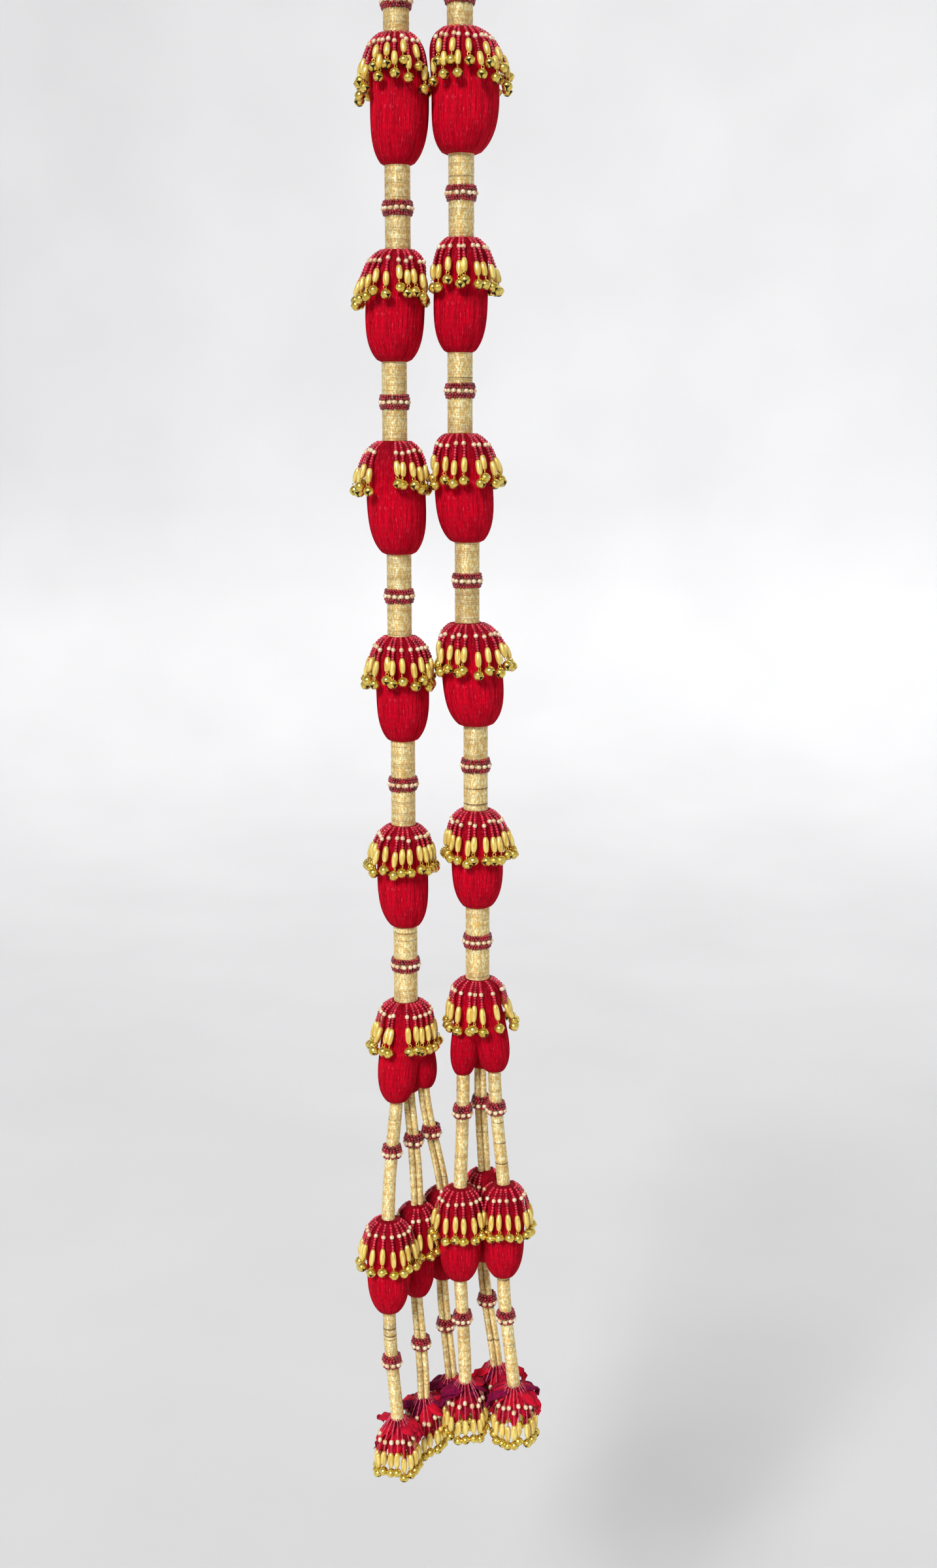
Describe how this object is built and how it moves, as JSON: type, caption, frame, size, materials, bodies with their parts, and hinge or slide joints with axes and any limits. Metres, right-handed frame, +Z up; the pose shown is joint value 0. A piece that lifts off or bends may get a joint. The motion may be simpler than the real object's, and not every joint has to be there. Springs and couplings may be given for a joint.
{
  "type": "beaded tassel hanging",
  "caption": "Hanging pair of long ornamental strands: thread-bound bulbs and gold-wound stems under bead and bell skirts, parting into thin flowered drops.",
  "frame": {"origin": "where the hook bears on the inside of the hanging loop", "axes": "+Z up along the strands, front towards -Y, the two strands side by side along X"},
  "size_m": [0.0952, 0.0624, 0.8803],
  "materials": {
    "red_silk": "satin",
    "gold_zari": "satin",
    "bead_skirt": "gloss",
    "red_petals": "matte",
    "loop_cord": "satin",
    "red_seed_beads": "gloss",
    "cream_beads": "gloss",
    "rice_beads": "satin",
    "brass_bells": "polished"
  },
  "bodies": {
    "root": {"hanging_loop": "loop_cord"},
    "knob": {"top_knob": "gold_zari"},
    "left_stem_0": {"left_stem_0": "gold_zari"},
    "left_bulb_1": {"left_bulb_1": "red_silk", "left_skirt_1": "bead_skirt"},
    "left_stem_1": {"left_stem_1": "gold_zari"},
    "left_bulb_2": {"left_bulb_2": "red_silk", "left_skirt_2": "bead_skirt"},
    "left_stem_2": {"left_stem_2": "gold_zari"},
    "left_bulb_3": {"left_bulb_3": "red_silk", "left_skirt_3": "bead_skirt"},
    "left_stem_3": {"left_stem_3": "gold_zari"},
    "left_bulb_4": {"left_bulb_4": "red_silk", "left_skirt_4": "bead_skirt"},
    "left_stem_4": {"left_stem_4": "gold_zari"},
    "left_bulb_5": {"left_bulb_5": "red_silk", "left_skirt_5": "bead_skirt"},
    "left_stem_5": {"left_stem_5": "gold_zari"},
    "left_bulb_6": {"left_bulb_6": "red_silk"},
    "right_stem_0": {"right_stem_0": "gold_zari"},
    "right_bulb_1": {"right_bulb_1": "red_silk", "right_skirt_1": "bead_skirt"},
    "right_stem_1": {"right_stem_1": "gold_zari"},
    "right_bulb_2": {"right_bulb_2": "red_silk", "right_skirt_2": "bead_skirt"},
    "right_stem_2": {"right_stem_2": "gold_zari"},
    "right_bulb_3": {"right_bulb_3": "red_silk", "right_skirt_3": "bead_skirt"},
    "right_stem_3": {"right_stem_3": "gold_zari"},
    "right_bulb_4": {"right_bulb_4": "red_silk", "right_skirt_4": "bead_skirt"},
    "right_stem_4": {"right_stem_4": "gold_zari"},
    "right_bulb_5": {"right_bulb_5": "red_silk", "right_skirt_5": "bead_skirt"},
    "right_stem_5": {"right_stem_5": "gold_zari"},
    "right_bulb_6": {"right_bulb_6": "red_silk"},
    "left_drop_1_stem": {"left_drop_1_stem": "gold_zari"},
    "left_drop_1_bulb": {"left_drop_1_bulb": "red_silk"},
    "left_drop_1_tail": {"left_drop_1_tail": "gold_zari"},
    "left_drop_1_flower": {"left_drop_1_flower": "red_petals"},
    "left_drop_2_stem": {"left_drop_2_stem": "gold_zari"},
    "left_drop_2_bulb": {"left_drop_2_bulb": "red_silk"},
    "left_drop_2_tail": {"left_drop_2_tail": "gold_zari"},
    "left_drop_2_flower": {"left_drop_2_flower": "red_petals"},
    "left_drop_3_stem": {"left_drop_3_stem": "gold_zari"},
    "left_drop_3_bulb": {"left_drop_3_bulb": "red_silk"},
    "left_drop_3_tail": {"left_drop_3_tail": "gold_zari"},
    "left_drop_3_flower": {"left_drop_3_flower": "red_petals"},
    "right_drop_1_stem": {"right_drop_1_stem": "gold_zari"},
    "right_drop_1_bulb": {"right_drop_1_bulb": "red_silk"},
    "right_drop_1_tail": {"right_drop_1_tail": "gold_zari"},
    "right_drop_1_flower": {"right_drop_1_flower": "red_petals"},
    "right_drop_2_stem": {"right_drop_2_stem": "gold_zari"},
    "right_drop_2_bulb": {"right_drop_2_bulb": "red_silk"},
    "right_drop_2_tail": {"right_drop_2_tail": "gold_zari"},
    "right_drop_2_flower": {"right_drop_2_flower": "red_petals"},
    "right_drop_3_stem": {"right_drop_3_stem": "gold_zari"},
    "right_drop_3_bulb": {"right_drop_3_bulb": "red_silk"},
    "right_drop_3_tail": {"right_drop_3_tail": "gold_zari"},
    "right_drop_3_flower": {"right_drop_3_flower": "red_petals"}
  },
  "joints": [
    {"name": "knob_swing", "type": "hinge", "parent": "root", "child": "knob", "pos_m": [0, 0, -0.021], "axis": [1, 0, 0], "range_deg": [-20, 20]},
    {"name": "left_spread", "type": "hinge", "parent": "knob", "child": "left_stem_0", "pos_m": [-0.0037, 0, -0.038], "axis": [0, 1, 0], "range_deg": [0, 14]},
    {"name": "left_neck_1", "type": "hinge", "parent": "left_stem_0", "child": "left_bulb_1", "pos_m": [-0.0157, 0, -0.107], "axis": [1, 0, 0], "range_deg": [0, 10]},
    {"name": "left_waist_1", "type": "hinge", "parent": "left_bulb_1", "child": "left_stem_1", "pos_m": [-0.0156, 0, -0.169], "axis": [0, 1, 0], "range_deg": [0, 10]},
    {"name": "left_neck_2", "type": "hinge", "parent": "left_stem_1", "child": "left_bulb_2", "pos_m": [-0.0156, 0, -0.209], "axis": [1, 0, 0], "range_deg": [0, 10]},
    {"name": "left_waist_2", "type": "hinge", "parent": "left_bulb_2", "child": "left_stem_2", "pos_m": [-0.0179, 0, -0.264], "axis": [0, 1, 0], "range_deg": [0, 10]},
    {"name": "left_neck_3", "type": "hinge", "parent": "left_stem_2", "child": "left_bulb_3", "pos_m": [-0.0179, 0, -0.303], "axis": [1, 0, 0], "range_deg": [0, 10]},
    {"name": "left_waist_3", "type": "hinge", "parent": "left_bulb_3", "child": "left_stem_3", "pos_m": [-0.0162, 0, -0.361], "axis": [0, 1, 0], "range_deg": [0, 10]},
    {"name": "left_neck_4", "type": "hinge", "parent": "left_stem_3", "child": "left_bulb_4", "pos_m": [-0.0162, 0, -0.403], "axis": [1, 0, 0], "range_deg": [0, 10]},
    {"name": "left_waist_4", "type": "hinge", "parent": "left_bulb_4", "child": "left_stem_4", "pos_m": [-0.0149, 0, -0.459], "axis": [0, 1, 0], "range_deg": [0, 10]},
    {"name": "left_neck_5", "type": "hinge", "parent": "left_stem_4", "child": "left_bulb_5", "pos_m": [-0.0149, 0, -0.504], "axis": [1, 0, 0], "range_deg": [0, 10]},
    {"name": "left_waist_5", "type": "hinge", "parent": "left_bulb_5", "child": "left_stem_5", "pos_m": [-0.0143, 0, -0.5605], "axis": [0, 1, 0], "range_deg": [0, 10]},
    {"name": "left_neck_6", "type": "hinge", "parent": "left_stem_5", "child": "left_bulb_6", "pos_m": [-0.0143, 0, -0.602], "axis": [1, 0, 0], "range_deg": [0, 10]},
    {"name": "right_spread", "type": "hinge", "parent": "knob", "child": "right_stem_0", "pos_m": [0.0037, 0, -0.038], "axis": [0, -1, 0], "range_deg": [0, 14]},
    {"name": "right_neck_1", "type": "hinge", "parent": "right_stem_0", "child": "right_bulb_1", "pos_m": [0.0156, 0, -0.1046], "axis": [-1, 0, 0], "range_deg": [0, 10]},
    {"name": "right_waist_1", "type": "hinge", "parent": "right_bulb_1", "child": "right_stem_1", "pos_m": [0.0162, 0, -0.1636], "axis": [0, -1, 0], "range_deg": [0, 10]},
    {"name": "right_neck_2", "type": "hinge", "parent": "right_stem_1", "child": "right_bulb_2", "pos_m": [0.0162, 0, -0.203], "axis": [-1, 0, 0], "range_deg": [0, 10]},
    {"name": "right_waist_2", "type": "hinge", "parent": "right_bulb_2", "child": "right_stem_2", "pos_m": [0.0155, 0, -0.2595], "axis": [0, -1, 0], "range_deg": [0, 10]},
    {"name": "right_neck_3", "type": "hinge", "parent": "right_stem_2", "child": "right_bulb_3", "pos_m": [0.0155, 0, -0.2993], "axis": [-1, 0, 0], "range_deg": [0, 10]},
    {"name": "right_waist_3", "type": "hinge", "parent": "right_bulb_3", "child": "right_stem_3", "pos_m": [0.0191, 0, -0.3548], "axis": [0, -1, 0], "range_deg": [0, 10]},
    {"name": "right_neck_4", "type": "hinge", "parent": "right_stem_3", "child": "right_bulb_4", "pos_m": [0.0191, 0, -0.3963], "axis": [-1, 0, 0], "range_deg": [0, 10]},
    {"name": "right_waist_4", "type": "hinge", "parent": "right_bulb_4", "child": "right_stem_4", "pos_m": [0.0236, 0, -0.4508], "axis": [0, -1, 0], "range_deg": [0, 10]},
    {"name": "right_neck_5", "type": "hinge", "parent": "right_stem_4", "child": "right_bulb_5", "pos_m": [0.0236, 0, -0.4957], "axis": [-1, 0, 0], "range_deg": [0, 10]},
    {"name": "right_waist_5", "type": "hinge", "parent": "right_bulb_5", "child": "right_stem_5", "pos_m": [0.0247, 0, -0.5497], "axis": [0, -1, 0], "range_deg": [0, 10]},
    {"name": "right_neck_6", "type": "hinge", "parent": "right_stem_5", "child": "right_bulb_6", "pos_m": [0.0247, 0, -0.5894], "axis": [-1, 0, 0], "range_deg": [0, 10]},
    {"name": "left_drop_1_swing", "type": "hinge", "parent": "left_bulb_6", "child": "left_drop_1_stem", "pos_m": [-0.0196, -0.005, -0.658], "axis": [-0.6, 0.8, 0], "range_deg": [0, 20]},
    {"name": "left_drop_1_neck", "type": "hinge", "parent": "left_drop_1_stem", "child": "left_drop_1_bulb", "pos_m": [-0.024, -0.021, -0.72025], "axis": [-0.6, 0.8, 0], "range_deg": [0, 12]},
    {"name": "left_drop_1_waist", "type": "hinge", "parent": "left_drop_1_bulb", "child": "left_drop_1_tail", "pos_m": [-0.024, -0.021, -0.77425], "axis": [-0.6, 0.8, 0], "range_deg": [0, 18]},
    {"name": "left_drop_1_tip", "type": "hinge", "parent": "left_drop_1_tail", "child": "left_drop_1_flower", "pos_m": [-0.0198, -0.024, -0.83725], "axis": [-0.6, 0.8, 0], "range_deg": [0, 15]},
    {"name": "left_drop_2_swing", "type": "hinge", "parent": "left_bulb_6", "child": "left_drop_2_stem", "pos_m": [-0.0128, 0.004, -0.656], "axis": [0.6, 0.8, 0], "range_deg": [0, 20]},
    {"name": "left_drop_2_neck", "type": "hinge", "parent": "left_drop_2_stem", "child": "left_drop_2_bulb", "pos_m": [-0.009, -0.0044, -0.71925], "axis": [0.6, 0.8, 0], "range_deg": [0, 12]},
    {"name": "left_drop_2_waist", "type": "hinge", "parent": "left_drop_2_bulb", "child": "left_drop_2_tail", "pos_m": [-0.009, -0.0044, -0.77325], "axis": [0.6, 0.8, 0], "range_deg": [0, 18]},
    {"name": "left_drop_2_tip", "type": "hinge", "parent": "left_drop_2_tail", "child": "left_drop_2_flower", "pos_m": [-0.006, -0.004, -0.83625], "axis": [0.6, 0.8, 0], "range_deg": [0, 15]},
    {"name": "left_drop_3_swing", "type": "hinge", "parent": "left_bulb_6", "child": "left_drop_3_stem", "pos_m": [-0.0046, 0.003, -0.653], "axis": [1, 0, 0], "range_deg": [0, 20]},
    {"name": "left_drop_3_neck", "type": "hinge", "parent": "left_drop_3_stem", "child": "left_drop_3_bulb", "pos_m": [0.0052, 0.0132, -0.71775], "axis": [1, 0, 0], "range_deg": [0, 12]},
    {"name": "left_drop_3_waist", "type": "hinge", "parent": "left_drop_3_bulb", "child": "left_drop_3_tail", "pos_m": [0.0052, 0.0132, -0.77175], "axis": [1, 0, 0], "range_deg": [0, 18]},
    {"name": "left_drop_3_tip", "type": "hinge", "parent": "left_drop_3_tail", "child": "left_drop_3_flower", "pos_m": [0.0096, 0.0156, -0.83475], "axis": [1, 0, 0], "range_deg": [0, 15]},
    {"name": "right_drop_1_swing", "type": "hinge", "parent": "right_bulb_6", "child": "right_drop_1_stem", "pos_m": [0.0168, -0.004, -0.6429], "axis": [-1, 0, 0], "range_deg": [0, 20]},
    {"name": "right_drop_1_neck", "type": "hinge", "parent": "right_drop_1_stem", "child": "right_drop_1_bulb", "pos_m": [0.0152, -0.0102, -0.7064], "axis": [-1, 0, 0], "range_deg": [0, 12]},
    {"name": "right_drop_1_waist", "type": "hinge", "parent": "right_drop_1_bulb", "child": "right_drop_1_tail", "pos_m": [0.0152, -0.0102, -0.7604], "axis": [-1, 0, 0], "range_deg": [0, 18]},
    {"name": "right_drop_1_tip", "type": "hinge", "parent": "right_drop_1_tail", "child": "right_drop_1_flower", "pos_m": [0.0179, -0.0096, -0.8234], "axis": [-1, 0, 0], "range_deg": [0, 15]},
    {"name": "right_drop_2_swing", "type": "hinge", "parent": "right_bulb_6", "child": "right_drop_2_stem", "pos_m": [0.0268, 0.005, -0.6424], "axis": [0.96, -0.28, 0], "range_deg": [0, 20]},
    {"name": "right_drop_2_neck", "type": "hinge", "parent": "right_drop_2_stem", "child": "right_drop_2_bulb", "pos_m": [0.0284, 0.012, -0.70615], "axis": [0.96, -0.28, 0], "range_deg": [0, 12]},
    {"name": "right_drop_2_waist", "type": "hinge", "parent": "right_drop_2_bulb", "child": "right_drop_2_tail", "pos_m": [0.0284, 0.012, -0.76015], "axis": [0.96, -0.28, 0], "range_deg": [0, 18]},
    {"name": "right_drop_2_tip", "type": "hinge", "parent": "right_drop_2_tail", "child": "right_drop_2_flower", "pos_m": [0.0356, 0.0084, -0.82315], "axis": [0.96, -0.28, 0], "range_deg": [0, 15]},
    {"name": "right_drop_3_swing", "type": "hinge", "parent": "right_bulb_6", "child": "right_drop_3_stem", "pos_m": [0.034, -0.003, -0.6414], "axis": [-0.28, -0.96, 0], "range_deg": [0, 20]},
    {"name": "right_drop_3_neck", "type": "hinge", "parent": "right_drop_3_stem", "child": "right_drop_3_bulb", "pos_m": [0.0392, -0.008, -0.70565], "axis": [-0.28, -0.96, 0], "range_deg": [0, 12]},
    {"name": "right_drop_3_waist", "type": "hinge", "parent": "right_drop_3_bulb", "child": "right_drop_3_tail", "pos_m": [0.0392, -0.008, -0.75965], "axis": [-0.28, -0.96, 0], "range_deg": [0, 18]},
    {"name": "right_drop_3_tip", "type": "hinge", "parent": "right_drop_3_tail", "child": "right_drop_3_flower", "pos_m": [0.0452, -0.0148, -0.82265], "axis": [-0.28, -0.96, 0], "range_deg": [0, 15]}
  ]
}
